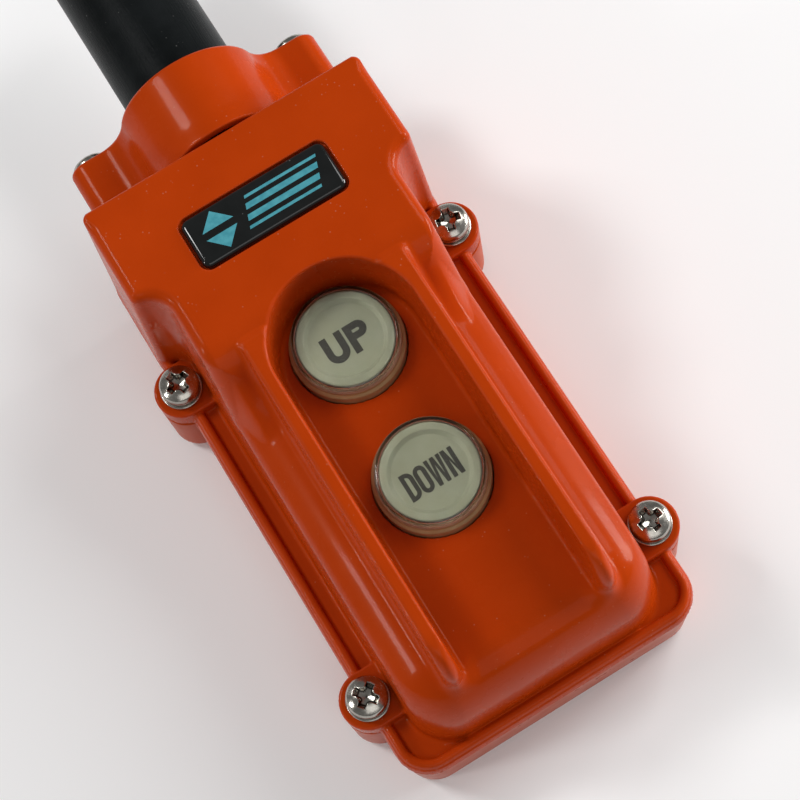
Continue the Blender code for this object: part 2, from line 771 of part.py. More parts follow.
def fixed_contact(name, side, y):
    low = Z_BLOCK_FLOOR + GAP
    profile = [(6.0, low), (17.6, low), (17.6, low + 1.0), (9.4, low + 1.0), (9.4, 12.2),
               (6.0, 12.2)]
    rings = [[(side * x, yy, z) for x, z in profile] for yy in (y - 2.6, y + 2.6)]
    obj = loft(name, rings, mat_brass())
    cut(obj, rod("screw_hole", 1.7, 8.0, 14.0, (side * TERMINAL_X, y, 0.0), "Z", 16))
    tidy_mesh(obj)


def terminals():
    for name, y in BUTTON_Y.items():
        for label, side in (("left", -1.0), ("right", 1.0)):
            fixed_contact("fixed_contact_" + name + "_" + label, side, y)
            centre = (side * TERMINAL_X, y, 0.0)
            pan_screw("terminal_screw_" + name + "_" + label, centre,
                      Z_BLOCK_FLOOR + 1.0 + 2.0 * GAP, 8.3, "Z", (2.8, 2.0), 1.4)


def block_screws():
    for label, side in (("left", -1.0), ("right", 1.0)):
        centre = (side * BLOCK_SCREW_X, BLOCK_SCREW_Y, 0.0)
        pan_screw("block_screw_" + label, centre, Z_BLOCK_BOTTOM - GAP, 34.0)


# ---------------------------------------------------------------- origins
def set_origins():
    for name, y in BUTTON_Y.items():
        moving = ("button_cap_", "legend_disc_", "plunger_", "contact_bridge_", "return_spring_")
        for prefix in moving:
            place_origin(bpy.data.objects[prefix + name], (0.0, y, Z_SPRING_SEAT))


def main():
    clear_scene()
    front_cover()
    rear_cover()
    cover_gasket()
    label_plate()
    cover_fasteners()
    clamp_cap()
    cable_sleeve()
    cap_fasteners()
    buttons()
    contact_block()
    block_plate()
    terminals()
    block_screws()
    set_origins()


main()
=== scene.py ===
"""Visual model of a two-button hoist pendant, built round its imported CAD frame.

The moulded pieces are rounded distance fields in millimetres that are meshed
on a grid. Turned pieces are lathed, and lettering is cut from filled curves.
"""

import json
import math

import bmesh
import bpy
import numpy as np
from mathutils import Matrix, Vector

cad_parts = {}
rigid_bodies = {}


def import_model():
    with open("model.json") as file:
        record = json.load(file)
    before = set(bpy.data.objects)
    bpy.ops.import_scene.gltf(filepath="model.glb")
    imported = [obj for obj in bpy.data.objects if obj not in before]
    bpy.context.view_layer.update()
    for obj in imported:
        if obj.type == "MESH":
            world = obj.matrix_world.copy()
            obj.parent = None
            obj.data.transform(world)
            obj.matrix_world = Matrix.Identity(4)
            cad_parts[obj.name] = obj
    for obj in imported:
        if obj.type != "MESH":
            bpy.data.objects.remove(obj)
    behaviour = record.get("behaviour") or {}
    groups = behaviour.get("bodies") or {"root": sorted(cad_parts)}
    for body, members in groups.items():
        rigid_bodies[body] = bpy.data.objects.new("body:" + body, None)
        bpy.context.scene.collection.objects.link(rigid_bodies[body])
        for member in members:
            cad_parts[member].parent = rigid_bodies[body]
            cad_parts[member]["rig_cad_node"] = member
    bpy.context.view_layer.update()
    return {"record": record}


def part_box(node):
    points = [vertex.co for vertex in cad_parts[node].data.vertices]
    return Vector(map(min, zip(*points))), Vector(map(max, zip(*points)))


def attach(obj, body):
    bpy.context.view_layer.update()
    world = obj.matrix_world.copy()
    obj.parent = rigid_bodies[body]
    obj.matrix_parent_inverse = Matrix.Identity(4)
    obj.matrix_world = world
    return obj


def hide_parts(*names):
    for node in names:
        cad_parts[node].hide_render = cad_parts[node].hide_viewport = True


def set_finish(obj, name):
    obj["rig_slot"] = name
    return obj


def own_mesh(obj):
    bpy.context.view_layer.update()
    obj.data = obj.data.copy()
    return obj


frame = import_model()

MM = 0.001
SETTLE_STEPS = 3
LONGEST_MOVE = 0.15  # millimetres that a vertex may move in one step


# ------------------------------------------------------------ rounded fields
def rmax(a, b, r):
    """Intersection of two fields with its edge rounded to radius r."""
    corner = np.hypot(np.maximum(a + r, 0.0), np.maximum(b + r, 0.0))
    return np.minimum(np.maximum(a, b), -r) + corner


def rmin(a, b, r):
    """Union of two fields with a fillet of radius r along the seam."""
    return -rmax(-a, -b, r)


def box2(x, y, hx, hy, r):
    """Rounded rectangle about the origin."""
    qx = np.abs(x) - hx + r
    qy = np.abs(y) - hy + r
    outside = np.hypot(np.maximum(qx, 0.0), np.maximum(qy, 0.0))
    return outside + np.minimum(np.maximum(qx, qy), 0.0) - r


def span(v, low, high):
    """Slab between two values of one coordinate."""
    return np.abs(v - (low + high) / 2.0) - (high - low) / 2.0


def smooth(t):
    """Eased step from 0 to 1 while t runs from 0 to 1."""
    t = np.clip(t, 0.0, 1.0)
    return t * t * (3.0 - 2.0 * t)


def gradient(field, p, step=0.04):
    """Slope of a field at each point, by central differences."""
    out = np.empty_like(p)
    for axis in range(3):
        shift = np.zeros(3)
        shift[axis] = step
        out[:, axis] = field(*(p + shift).T) - field(*(p - shift).T)
    return out / (2.0 * step)


def curvature(field, p, step=0.25):
    """How sharply the surface turns at each point, per millimetre; convex is positive."""
    out = -6.0 * field(*p.T)
    for axis in range(3):
        shift = np.zeros(3)
        shift[axis] = step
        out = out + field(*(p + shift).T) + field(*(p - shift).T)
    return out / step ** 2


def surface_nets(field, low, high, step):
    """Quads and vertices of the field's zero surface on a regular grid."""
    axes = [np.arange(low[i], high[i] + step, step) for i in range(3)]
    f = field(axes[0][:, None, None], axes[1][None, :, None], axes[2][None, None, :])
    f = np.broadcast_to(f, [len(a) for a in axes]).astype(np.float32)
    inside = f < 0.0
    shape = tuple(n - 1 for n in f.shape)
    total = np.zeros(shape + (3,), np.float32)
    count = np.zeros(shape, np.int16)
    for axis in range(3):
        a = [slice(None)] * 3
        b = [slice(None)] * 3
        a[axis] = slice(None, -1)
        b[axis] = slice(1, None)
        fa, fb = f[tuple(a)], f[tuple(b)]
        cross = inside[tuple(a)] != inside[tuple(b)]
        t = np.where(cross, fa / np.where(cross, fa - fb, 1.0), 0.0)
        others = [k for k in range(3) if k != axis]
        for da in (0, 1):
            for db in (0, 1):
                pick = [slice(None)] * 3
                pick[others[0]] = slice(da, da + shape[others[0]])
                pick[others[1]] = slice(db, db + shape[others[1]])
                c = cross[tuple(pick)]
                count += c
                total[..., axis] += t[tuple(pick)]
                total[..., others[0]] += da * c
                total[..., others[1]] += db * c
    live = count > 0
    index = np.full(shape, -1, np.int64)
    index[live] = np.arange(int(live.sum()))
    cells = np.argwhere(live)
    verts = np.array(low) + (cells + total[live] / count[live][:, None]) * step
    quads = []
    for axis in range(3):
        others = [k for k in range(3) if k != axis]
        a = [slice(1, -1)] * 3
        b = [slice(1, -1)] * 3
        a[axis] = slice(None, -1)
        b[axis] = slice(1, None)
        lo_in, hi_in = inside[tuple(a)], inside[tuple(b)]
        for flip, mask in ((False, lo_in & ~hi_in), (True, ~lo_in & hi_in)):
            cell = np.argwhere(mask)
            for k in others:
                cell[:, k] += 1
            corner = []
            for da, db in ((0, 0), (1, 0), (1, 1), (0, 1)):
                c = cell.copy()
                c[:, others[0]] -= da
                c[:, others[1]] -= db
                corner.append(index[c[:, 0], c[:, 1], c[:, 2]])
            quad = np.stack(corner, 1)
            if flip != (axis == 1):
                quad = quad[:, ::-1]
            quads.append(quad)
    return verts, np.concatenate(quads)


def field_mesh(name, field, low, high, step, fine=None):
    """Mesh of a field, drawn onto its surface, with normals from the field.

    Faces that turn faster than fine (per millimetre) are split once more.
    """
    verts, quads = surface_nets(field, low, high, step)
    verts = drawn_on(field, verts)
    mesh = bpy.data.meshes.new(name)
    mesh.from_pydata((verts * MM).tolist(), [], quads.tolist())
    if fine is not None:
        split_turns(mesh, np.abs(curvature(field, verts)) > fine)
    finish_surface(mesh, field)
    return mesh


def split_turns(mesh, turning):
    """Halve every edge that lies between two turning vertices."""
    bm = bmesh.new()
    bm.from_mesh(mesh)
    edges = [e for e in bm.edges if turning[e.verts[0].index] and turning[e.verts[1].index]]
    bmesh.ops.subdivide_edges(bm, edges=edges, cuts=1, use_grid_fill=True)
    bm.to_mesh(mesh)
    bm.free()


def drawn_on(field, p):
    """Points pulled onto the field's zero surface in short steps."""
    for _ in range(SETTLE_STEPS):
        g = gradient(field, p)
        size = np.maximum((g * g).sum(1), 0.04)
        move = (field(*p.T) / size)[:, None] * g
        length = np.maximum(np.linalg.norm(move, axis=1), 1e-9)
        p = p - move * np.minimum(1.0, LONGEST_MOVE / length)[:, None]
    return p


def finish_surface(mesh, field):
    """Settle the vertices, take their normals from the field and store how sharply it turns.

    The edge attribute is positive on outer edges and negative in inner corners.
    """
    p = np.empty(len(mesh.vertices) * 3)
    mesh.vertices.foreach_get("co", p)
    p = drawn_on(field, p.reshape(-1, 3) / MM)
    mesh.vertices.foreach_set("co", (p * MM).ravel())
    g = gradient(field, p)
    g /= np.maximum(np.linalg.norm(g, axis=1), 1e-9)[:, None]
    edge = mesh.attributes.new("edge", "FLOAT", "POINT")
    edge.data.foreach_set("value", np.clip(curvature(field, p), -4.0, 2.0))
    mesh.shade_smooth()
    mesh.normals_split_custom_set_from_vertices(g.tolist())
    mesh.update()


# ------------------------------------------------------------ levels from the frame
def size_of(node):
    """Corners of a CAD node's box, in millimetres."""
    low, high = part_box(node)
    return np.array(low) / MM, np.array(high) / MM


FRONT_LOW, FRONT_HIGH = size_of("front_cover")
REAR_LOW, REAR_HIGH = size_of("rear_cover")
CAP_LOW, CAP_HIGH = size_of("cable_clamp_cap")
SLEEVE_LOW, SLEEVE_HIGH = size_of("cable_sleeve")
LABEL_LOW, LABEL_HIGH = size_of("label_plate")

Z_PARTING = FRONT_LOW[2]
Z_REAR_TOP = REAR_HIGH[2]
Z_TOP = FRONT_HIGH[2]
Z_FLOOR = Z_TOP - 13.0
Z_LIP = Z_PARTING + 3.4
Z_FLANGE = Z_LIP - 1.5
Z_EAR = Z_PARTING + 4.6
Z_BODY = Z_FLOOR + 1.7
HEAD_END = FRONT_HIGH[1]
FOOT_END = REAR_LOW[1]
RIM_HALF = 32.1
EAR_RADIUS = 5.7
SCREW_X = FRONT_HIGH[0] - EAR_RADIUS
SCREWS = {name: tuple(np.mean(size_of("cover_screw_" + name), axis=0)[:2])
          for name in ("head_left", "head_right", "foot_left", "foot_right")}
SCREW_Y_HEAD = SCREWS["head_right"][1]
SCREW_Y_FOOT = SCREWS["foot_right"][1]
BUTTONS = {name: float(np.mean(size_of("button_cap_" + name), axis=0)[1])
           for name in ("up", "down")}
BUTTON_HOLE = 11.28
LEGEND_SINK = 0.7
CHANNEL_HALF = 14.7
CHANNEL_CENTRE = 12.3
RIB_END = -50.8
CABLE_Z = float(np.mean((SLEEVE_LOW, SLEEVE_HIGH), axis=0)[2])
LABEL_Y = float(np.mean((LABEL_LOW, LABEL_HIGH), axis=0)[1])
LABEL_HALF = (LABEL_HIGH - LABEL_LOW)[:2] / 2.0
CAP_SCREW = np.mean(size_of("cap_screw_right"), axis=0)
POST = np.mean(size_of("block_screw_right"), axis=0)
POST_LOW = size_of("block_plate")[1][2] + 0.3


# ------------------------------------------------------------ front cover
def rim_plan(x, y, inset=0.0):
    """Outline of the flange, with larger corners at the foot than at the head."""
    middle = (HEAD_END + FOOT_END) / 2.0
    half = (HEAD_END - FOOT_END) / 2.0 - inset
    corner = 7.0 - 4.0 * smooth((y - middle) / 20.0 + 0.5)
    return box2(x, y - middle, RIM_HALF - inset, half, corner)


def ear_plan(ax, y, radius=EAR_RADIUS):
    """Round bosses of the cover screws, joined to the wall."""
    out = None
    for cy in (SCREW_Y_HEAD, SCREW_Y_FOOT):
        ring = np.hypot(ax - SCREW_X, y - cy) - radius
        neck = np.maximum(np.abs(y - cy) - radius, span(ax, SCREW_X - 6.0, SCREW_X))
        one = np.minimum(ring, neck)
        out = one if out is None else np.minimum(out, one)
    return out


def body_field(ax, y, z):
    """Main body with drafted walls and a broad rolled shoulder."""
    rise = z - 17.0
    half = 26.6 - 0.07 * rise
    foot = -55.9 + 0.08 * rise
    top = 44.0
    wall = box2(ax, y - (top + foot) / 2.0, half, (top - foot) / 2.0, 8.6)
    u = np.maximum(ax - 16.2, 0.0)
    v = np.maximum(-43.9 - y, 0.0)
    crown = Z_BODY - u * u / 16.0 - v * v / 17.2
    slope = np.sqrt(1.0 + (u / 8.0) ** 2 + (v / 8.6) ** 2)
    edge = 0.9 + 2.6 * smooth((-42.0 - y) / 10.0)
    return rmax(wall, (z - crown) / slope, edge)


def head_field(ax, y, z):
    """Head block and neck: coved outline, rolled plateau edge, ramp at the foot."""
    rise = z - 17.0
    neck = np.maximum(ax - (26.4 - 0.055 * rise), -(y - 6.0))
    step = 38.4 + 0.02 * rise
    end = HEAD_END - 0.012 * rise
    head = box2(ax, y - (step + end) / 2.0, RIM_HALF - 0.055 * rise, (end - step) / 2.0, 1.6)
    plan = np.maximum(rmin(neck, head, 5.4), y - end)
    ramp = (19.3 - y) * 0.88 + (z - 51.6) * 0.475
    roll = 2.1 - 1.3 * smooth((y - 55.5) / 3.5)
    solid = rmax(plan, z - Z_TOP, roll)
    return rmax(solid, ramp, 5.0)


def rib_field(ax, y, z):
    """Pair of ribs beside the button channel, rolled down at the foot."""
    side = ax - (17.4 + 0.035 * (Z_TOP - z))
    solid = np.maximum(side, 12.0 - ax)
    sink = 3.0 * smooth((y - 20.6) / 3.0)
    soft = 0.8 + 1.4 * smooth((-43.0 - y) / 6.0)
    solid = rmax(solid, z - Z_TOP + 0.02 + sink, soft)
    end = rmax(z - Z_TOP, RIB_END - y, 8.6)
    solid = rmax(solid, end, soft)
    return np.maximum(np.maximum(solid, y - 26.0), 30.0 - z)


def channel_field(ax, y, z):
    """Space of the button channel: straight sides and a round end."""
    half = CHANNEL_HALF - 0.06 * (Z_TOP - z)
    ahead = np.maximum(y - CHANNEL_CENTRE, 0.0)
    plan = np.hypot(ax, ahead) - half
    return rmax(plan, Z_FLOOR - z, 0.9)


def flange_field(ax, y, z):
    """Flange with a rounded raised lip along its edge."""
    taper = 0.9 * np.clip((z - Z_PARTING) / (Z_LIP - Z_PARTING), 0.0, 1.3) ** 1.5
    rim = rim_plan(ax, y) + taper
    plate = np.maximum(rim, z - Z_FLANGE)
    lip = rmax(rim, z - Z_LIP, 0.55)
    lip = rmax(lip, -(rim_plan(ax, y) + 2.4), 0.8)
    return np.maximum(rmin(plate, lip, 0.5), Z_PARTING - z)


def label_plan(x, y, grow):
    hx, hy = LABEL_HALF
    return box2(x, y - LABEL_Y, hx + grow, hy + grow, 1.6 + grow)


def front_inside(ax, y, z):
    """Hollow of the cover, with its screw posts and the cap-screw bosses left in."""
    low = box2(ax, y + 5.4, 24.2, 47.0, 6.0)
    low = np.minimum(low, box2(ax, y - 49.0, 28.0, 7.4, 2.0))
    low = np.maximum(low, z - 31.5)
    shrink = 0.6 * np.maximum(z - 31.0, 0.0)
    mid = np.maximum(box2(ax, y + 4.4, 23.6 - shrink, 47.4 - shrink, 5.5), z - Z_FLOOR + 2.5)
    head = box2(ax, y - 35.6, 20.4, 6.0, 3.0)
    head = np.minimum(head, box2(ax, y - 49.4, 27.6, 7.8, 2.0))
    head = np.maximum(head, z - Z_TOP + 2.5)
    hollow = np.minimum(np.minimum(low, mid), head)
    post = np.maximum(np.hypot(ax - POST[0], y - POST[1]) - 3.4, POST_LOW - z)
    web = np.maximum(np.abs(z - CAP_SCREW[2]) - 4.4, CAP_SCREW[0] - ax)
    boss = np.minimum(np.hypot(ax - CAP_SCREW[0], z - CAP_SCREW[2]) - 4.4, web)
    boss = np.maximum(boss, 48.0 - y)
    return np.maximum(np.maximum(hollow, -post), -boss)


def front_bores(ax, y, z):
    """Holes for the buttons, every screw and the cable."""
    out = np.hypot(ax, z - CABLE_Z) - 8.5
    out = np.maximum(out, 54.0 - y)
    for cy in BUTTONS.values():
        hole = np.maximum(np.hypot(ax, y - cy) - BUTTON_HOLE, span(z, 33.0, 42.0))
        out = np.minimum(out, hole)
    for cy in (SCREW_Y_HEAD, SCREW_Y_FOOT):
        out = np.minimum(out, np.maximum(np.hypot(ax - SCREW_X, y - cy) - 2.3, z - 24.0))
    cap = np.maximum(np.hypot(ax - CAP_SCREW[0], z - CAP_SCREW[2]) - 2.2, 50.0 - y)
    post = np.maximum(np.hypot(ax - POST[0], y - POST[1]) - 2.2, z - 35.0)
    return np.minimum(out, np.minimum(cap, post))


def front_field(x, y, z):
    ax = np.abs(x)
    cove = 0.6 + 7.0 * smooth((25.0 - ax) / 3.5) * smooth((24.0 - y) / 4.0)
    solid = rmin(body_field(ax, y, z), head_field(ax, y, z), cove)
    solid = rmin(solid, rib_field(ax, y, z), 1.6)
    rim = 0.55 + 2.0 * smooth((-43.0 - y) / 7.0)
    solid = rmax(solid, -channel_field(ax, y, z), rim)
    solid = rmin(solid, flange_field(ax, y, z), 0.9)
    ear = rmax(ear_plan(ax, y), z - Z_EAR, 0.5)
    ear = np.maximum(ear, Z_PARTING - z)
    solid = rmin(solid, ear, 0.5)
    solid = np.maximum(solid, Z_PARTING - z)
    recess = np.maximum(label_plan(x, y, 0.5), Z_TOP - 1.2 - z)
    solid = rmax(solid, -recess, 0.3)
    solid = np.maximum(solid, -front_inside(ax, y, z))
    return np.maximum(solid, -front_bores(ax, y, z))


# ------------------------------------------------------------ rear cover
def rear_field(x, y, z):
    ax = np.abs(x)
    lean = 0.8 * (1.0 - z / Z_REAR_TOP)
    plan = rim_plan(ax, y) + lean
    shell = rmax(plan, -z, 1.7)
    ear = rmax(ear_plan(ax, y), 1.5 - z, 0.8)
    solid = rmin(shell, ear, 0.5)
    solid = rmax(solid, z - Z_REAR_TOP, 0.25)
    pad = np.maximum(box2(ax, y - 0.6, RIM_HALF - 6.0, 52.5, 4.0), z - 0.45)
    solid = rmax(solid, -pad, 0.2)
    rest = np.maximum(box2(ax, y - 0.6, RIM_HALF - 7.2, 51.3, 3.0), -z)
    solid = rmin(solid, np.maximum(rest, z - 3.0), 0.2)
    body = box2(ax, y + 5.4, 24.2, 47.0, 6.0)
    hollow = np.minimum(body, box2(ax, y - 49.0, 28.0, 7.4, 2.0))
    solid = np.maximum(solid, -np.maximum(hollow, 2.5 - z))
    groove = np.maximum(np.abs(hollow - 1.6) - 0.8, Z_REAR_TOP - 1.8 - z)
    solid = np.maximum(solid, -groove)
    for cy in (SCREW_Y_HEAD, SCREW_Y_FOOT):
        bore = np.hypot(ax - SCREW_X, y - cy) - 2.2
        solid = np.maximum(solid, -np.maximum(bore, 5.0 - z))
    return solid


# ------------------------------------------------------------ cable clamp cap
def cap_field(x, y, z):
    ax = np.abs(x)
    arch = np.hypot(ax, z - CABLE_Z) - 15.0
    half = (CAP_HIGH[0] - CAP_LOW[0]) / 2.0
    ear_top, ear_bottom = CABLE_Z - 1.3, 23.0
    ears = box2(ax, z - (ear_top + ear_bottom) / 2.0, half, (ear_top - ear_bottom) / 2.0, 3.6)
    plan = rmin(arch, ears, 5.6)
    plan = rmax(plan, 20.4 - z, 1.0)
    flare = 0.4 * smooth((65.0 - y) / 5.0)
    solid = rmax(plan - flare, y - CAP_HIGH[1], 0.9)
    base = CAP_LOW[1] + 0.22 * smooth((z - 49.4) / 1.6)
    solid = rmax(solid, base - y, 0.35)
    bore = np.hypot(x, z - CABLE_Z)
    seat = np.maximum(bore - 13.5, y - 63.4)
    solid = rmax(solid, -np.minimum(bore - 12.2, seat), 0.25)
    screw = np.hypot(ax - CAP_SCREW[0], z - CAP_SCREW[2]) - 2.3
    return np.maximum(solid, -screw)


# ------------------------------------------------------------ fasteners
HEAD_RADIUS = 4.0
HEAD_HEIGHT = 2.6
SCREW_GRID = 0.15


def screw_field(shank):
    """Pan head with a tapered cross recess, standing on z = 0, and a plain shank."""
    def field(x, y, z):
        r = np.hypot(x, y)
        dome = np.sqrt(r * r + (z - HEAD_HEIGHT + 6.1) ** 2) - 6.1
        head = rmax(r - HEAD_RADIUS, dome, 0.45)
        head = rmax(head, -z, 0.15)
        depth = HEAD_HEIGHT - z
        slot = None
        for a, b in ((x, y), (y, x)):
            arm = np.maximum(np.abs(a) - (2.85 - 0.72 * depth), np.abs(b) - (0.80 - 0.1 * depth))
            slot = arm if slot is None else np.minimum(slot, arm)
        well = r - (1.60 - 0.35 * depth)
        slot = rmin(slot, well, 0.3)
        slot = np.maximum(slot, depth - 2.1 + 0.25 * r)
        head = rmax(head, -slot, 0.12)
        pin = np.maximum(r - 1.9, span(z, -shank, 0.5))
        return np.minimum(head, rmax(pin, -shank - z, 0.5))
    return field


def place(name, mesh, body, node, at=(0.0, 0.0, 0.0), turn=None):
    """One piece that stands for its CAD node, placed in millimetres."""
    obj = bpy.data.objects.new(name, mesh)
    matrix = Matrix.Translation(Vector(at) * MM)
    obj.matrix_world = matrix @ turn.to_4x4() if turn else matrix
    bpy.context.scene.collection.objects.link(obj)
    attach(obj, body)
    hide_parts(node)
    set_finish(obj, SLOT_OF[node])
    return obj


SLOT_OF = {part["node"]: part["material_slot"] for part in frame["record"]["subparts"]}


# ------------------------------------------------------------ turned pieces
def turned(name, profile, centre=(0.0, 0.0), segments=96, axis="Z", sharp=40.0):
    """Revolve a closed (radius, height) loop; radius 0 lies on the axis."""
    bm = bmesh.new()
    rows = []
    for radius, height in profile:
        if radius <= 0.0:
            rows.append([bm.verts.new((0.0, 0.0, height * MM))])
            continue
        ring = []
        for k in range(segments):
            a = 2.0 * math.pi * k / segments
            spot = (radius * math.cos(a) * MM, radius * math.sin(a) * MM, height * MM)
            ring.append(bm.verts.new(spot))
        rows.append(ring)
    for a, b in zip(rows, rows[1:] + rows[:1]):
        if len(a) == 1 and len(b) == 1:
            continue
        for i in range(segments):
            j = (i + 1) % segments
            if len(a) == 1:
                bm.faces.new((a[0], b[i], b[j]))
            elif len(b) == 1:
                bm.faces.new((a[i], a[j], b[0]))
            else:
                bm.faces.new((a[i], a[j], b[j], b[i]))
    if axis == "Y":
        quarter = Matrix.Rotation(-math.pi / 2, 3, "X")
        bmesh.ops.rotate(bm, verts=bm.verts, cent=(0, 0, 0), matrix=quarter)
        shift = Vector((centre[0], 0.0, centre[1])) * MM
    else:
        shift = Vector((centre[0], centre[1], 0.0)) * MM
    bmesh.ops.translate(bm, verts=bm.verts, vec=shift)
    bmesh.ops.recalc_face_normals(bm, faces=bm.faces)
    mesh = bpy.data.meshes.new(name)
    bm.to_mesh(mesh)
    bm.free()
    mesh.shade_smooth()
    mesh.set_sharp_from_angle(angle=math.radians(sharp))
    return mesh


def rounded(points, steps=5):
    """Replace each (r, h, radius) corner of a closed profile with an arc."""
    out = []
    count = len(points)
    for i, (r, h, radius) in enumerate(points):
        if radius <= 0.0:
            out.append((r, h))
            continue
        here = Vector((r, h))
        u = (Vector(points[i - 1][:2]) - here).normalized()
        v = (Vector(points[(i + 1) % count][:2]) - here).normalized()
        half = u.angle(v) / 2.0
        reach = radius / math.tan(half)
        centre = here + (u + v).normalized() * (radius / math.sin(half))
        start = here + u * reach - centre
        sweep = start.angle_signed(here + v * reach - centre)
        for k in range(steps + 1):
            p = centre + Matrix.Rotation(-sweep * k / steps, 2) @ start
            out.append((p.x, p.y))
    return out


def sleeve_mesh():
    """Cable sleeve with a collar at its inner end and a stepped outer end."""
    low, high = SLEEVE_LOW[1], SLEEVE_HIGH[1]
    radius, bore = 11.9, 6.5
    profile = [(bore, low, 0.0), (13.2, low, 0.3), (13.2, low + 2.3, 0.4), (radius, low + 2.5, 0.3),
               (radius, high - 11.0, 1.2), (10.2, high - 9.8, 0.5), (10.2, high - 5.0, 0.6),
               (9.3, high - 4.4, 0.3), (9.2, high, 0.6), (bore, high, 0.5)]
    return turned("cable_sleeve_skin", rounded(profile), (0.0, CABLE_Z), 128, "Y")


def cap_lens_mesh(y):
    """Clear button cap: skirt, drafted wall, rolled rim and faintly crowned top."""
    low, high = size_of("button_cap_up")
    top = high[2]
    profile = [(12.6, low[2], 0.2), (12.6, low[2] + 2.0, 0.3), (11.1, low[2] + 2.0, 0.3),
               (11.05, top - 3.7, 0.5), (10.45, top - 3.2, 0.4), (10.2, top - 0.06, 0.75),
               (6.0, top, 8.0), (0.0, top, 0.0), (0.0, top - 0.9, 0.0), (9.6, top - 0.9, 0.3),
               (9.62, low[2], 0.1)]
    return turned("button_lens", rounded(profile, 6), (0.0, y), 128)


def disc_mesh(y):
    """Legend disc with a raised rim and a sunken centre."""
    low, high = size_of("legend_disc_up")
    top, sink = high[2], high[2] - LEGEND_SINK
    profile = [(0.0, low[2], 0.0), (9.3, low[2], 0.2), (9.3, top, 0.35), (7.85, top, 0.3),
               (7.15, sink, 0.35), (0.0, sink, 0.0)]
    return turned("legend", rounded(profile, 5), (0.0, y), 128)


def plunger_mesh(y):
    """Plunger: a thin tip through the bridge, a thicker stem and a head under the disc."""
    low, high = size_of("plunger_up")
    bridge = size_of("contact_bridge_up")[1][2] + 0.3
    head = high[2] - 2.2
    profile = [(0.0, low[2], 0.0), (1.5, low[2], 0.3), (1.5, bridge, 0.1), (3.0, bridge, 0.3),
               (3.0, head, 0.1), (9.3, head, 0.3), (9.3, high[2], 0.2), (0.0, high[2], 0.0)]
    return turned("plunger_body", rounded(profile, 4), (0.0, y), 64)


def seal_mesh(y):
    """Flat rubber ring under the cover, round the button cap."""
    low, high = size_of("button_seal_up")
    inner, outer = 11.45, 13.3
    profile = [(inner, low[2], 0.3), (outer, low[2], 0.3), (outer, high[2], 0.5),
               (inner, high[2], 0.5)]
    return turned("seal_ring", rounded(profile, 4), (0.0, y), 96)


def washer_mesh():
    """Flat washer standing on z = 0."""
    profile = [(2.3, 0.0, 0.1), (4.3, 0.0, 0.15), (4.3, 0.7, 0.25), (2.3, 0.7, 0.12)]
    return turned("flat_washer_body", rounded(profile, 3), segments=64)


def spring_washer_mesh():
    """Split ring of rounded rectangular section; its two ends stand slightly apart."""
    inner, outer, thick, corner = 2.3, 3.9, 0.8, 0.14
    section = rounded([(inner, 0.0, corner), (outer, 0.0, corner), (outer, thick, corner),
                       (inner, thick, corner)], 2)
    steps = 72
    start = math.radians(8.0)
    bm = bmesh.new()
    rows = []
    for k in range(steps + 1):
        a = start + (2.0 * math.pi - 2.0 * start) * k / steps
        rows.append([bm.verts.new((r * math.cos(a) * MM, r * math.sin(a) * MM, h * MM))
                     for r, h in section])
    for a, b in zip(rows, rows[1:]):
        for i in range(len(section)):
            j = (i + 1) % len(section)
            bm.faces.new((a[i], a[j], b[j], b[i]))
    bm.faces.new(rows[0][::-1])
    bm.faces.new(rows[-1])
    bmesh.ops.recalc_face_normals(bm, faces=bm.faces)
    mesh = bpy.data.meshes.new("spring_washer_body")
    bm.to_mesh(mesh)
    bm.free()
    mesh.shade_smooth()
    mesh.set_sharp_from_angle(angle=math.radians(50.0))
    return mesh


def spring_mesh(name, y):
    """Round-wire return spring of even pitch, set round its button."""
    low, high = size_of("return_spring_up")
    wire, radius, turns = 0.4, 5.4, 3.5
    base, rise = low[2] + wire, high[2] - low[2] - 2.0 * wire
    steps, sides = int(turns * 48), 12
    bm = bmesh.new()
    rows = []
    for k in range(steps + 1):
        share = k / steps
        a = 2.0 * math.pi * turns * share
        row = []
        for s in range(sides):
            b = 2.0 * math.pi * s / sides
            r = radius + wire * math.cos(b)
            z = base + rise * share + wire * math.sin(b)
            row.append(bm.verts.new((r * math.cos(a) * MM, (y + r * math.sin(a)) * MM, z * MM)))
        rows.append(row)
    for a, b in zip(rows, rows[1:]):
        for i in range(sides):
            j = (i + 1) % sides
            bm.faces.new((a[i], a[j], b[j], b[i]))
    bm.faces.new(rows[0][::-1])
    bm.faces.new(rows[-1])
    bmesh.ops.recalc_face_normals(bm, faces=bm.faces)
    mesh = bpy.data.meshes.new(name)
    bm.to_mesh(mesh)
    bm.free()
    mesh.shade_smooth()
    mesh.set_sharp_from_angle(angle=math.radians(60.0))
    return mesh


# ------------------------------------------------------------ label
def label_field(x, y, z):
    """Resin dome of the label, slightly crowned, with rolled edges."""
    hx, hy = LABEL_HALF
    top = LABEL_HIGH[2]
    crown = top - 0.16 * (x / hx) ** 2 - 0.16 * ((y - LABEL_Y) / hy) ** 2
    plan = label_plan(x, y, 0.0)
    return np.maximum(rmax(plan, z - crown, 0.95), LABEL_LOW[2] - z)


# ------------------------------------------------------------ lettering
def arc(cx, cy, rx, ry, start, end, steps=14):
    """Points of an elliptical arc, in degrees."""
    out = []
    for k in range(steps + 1):
        a = math.radians(start + (end - start) * k / steps)
        out.append((cx + rx * math.cos(a), cy + ry * math.sin(a)))
    return out


def letter_u(w, h, t):
    r = w / 2.0
    outer = [(0, h), (0, r)] + arc(r, r, r, r, 180, 360) + [(w, h), (w - t, h)]
    inner = arc(r, r, r - t, r - t, 360, 180) + [(t, h)]
    return [outer + [(w - t, r)] + inner]


